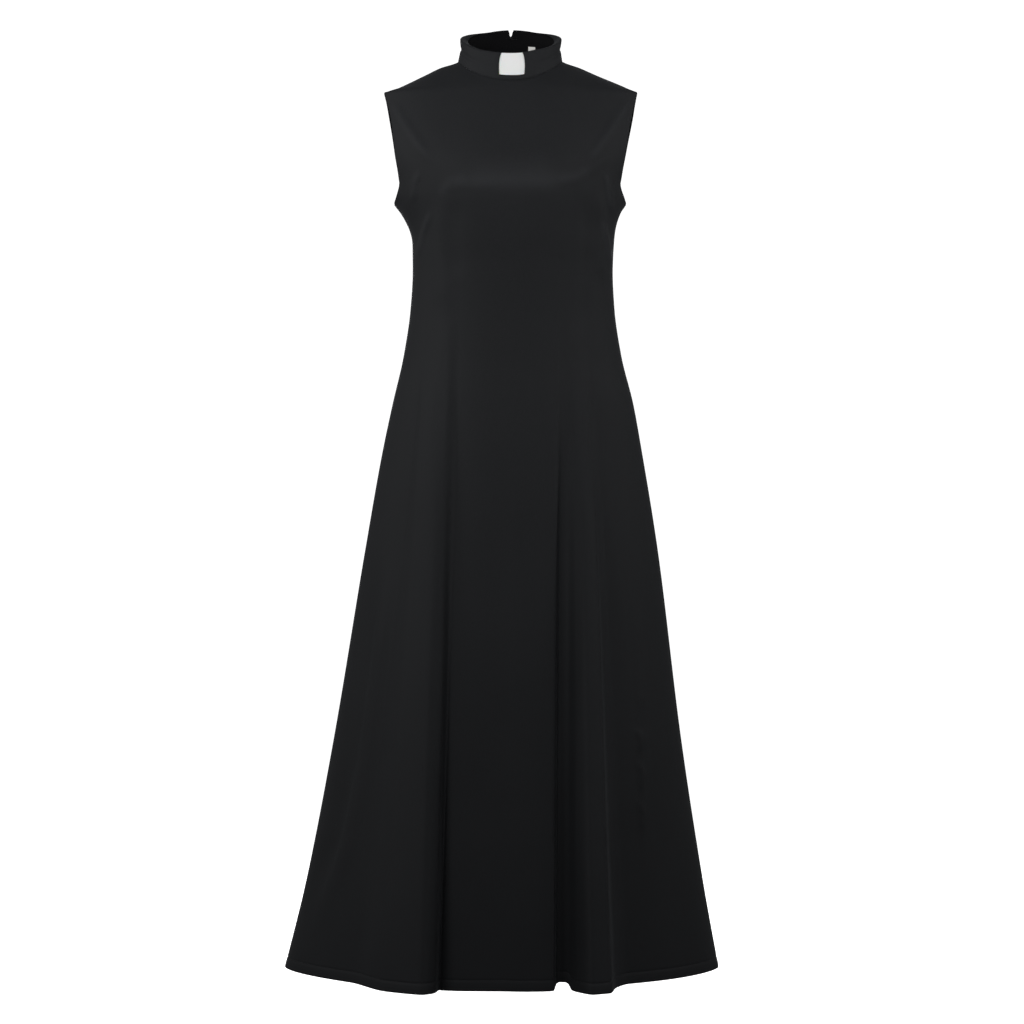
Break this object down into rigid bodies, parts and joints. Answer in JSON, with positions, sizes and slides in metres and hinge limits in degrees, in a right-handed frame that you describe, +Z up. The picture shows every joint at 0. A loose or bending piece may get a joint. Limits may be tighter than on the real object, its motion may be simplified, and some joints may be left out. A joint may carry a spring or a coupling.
{
  "type": "sleeveless floor-length clergy dress, filled out as worn",
  "caption": "Sleeveless floor-length A-line clergy dress in black jersey, with a stand collar, a white tab in its front window and a centre back zip.",
  "frame": {"origin": "middle of the neck, level with the tops of the shoulder seams, where the wearer's shoulders carry the dress", "axes": "+Z up, -Y the front, +X the wearer's left"},
  "size_m": [0.6333, 0.4442, 1.3745],
  "materials": {
    "jersey": "fine black crepe jersey with a soft, dull sheen",
    "tab": "smooth white plastic",
    "label": "bare white satin ribbon",
    "zip_tape": "black woven polyester tape",
    "zip_metal": "black enamelled metal"
  },
  "bodies": {
    "dress": {"front": "jersey", "back_right": "jersey", "back_left": "jersey", "collar_outer": "jersey", "collar_inner": "jersey", "tab": "tab", "neck_label": "label", "zip_tape": "zip_tape", "zip_slider": "zip_metal", "hook": "zip_metal", "eye": "zip_metal"},
    "zip_pull": {"zip_pull": "zip_metal"}
  },
  "joints": [
    {"name": "zip_pull_swing", "type": "hinge", "parent": "dress", "child": "zip_pull", "pos_m": [0, 0.071, 0.01194], "axis": [1, 0, 0], "range_deg": [0, 150]}
  ]
}
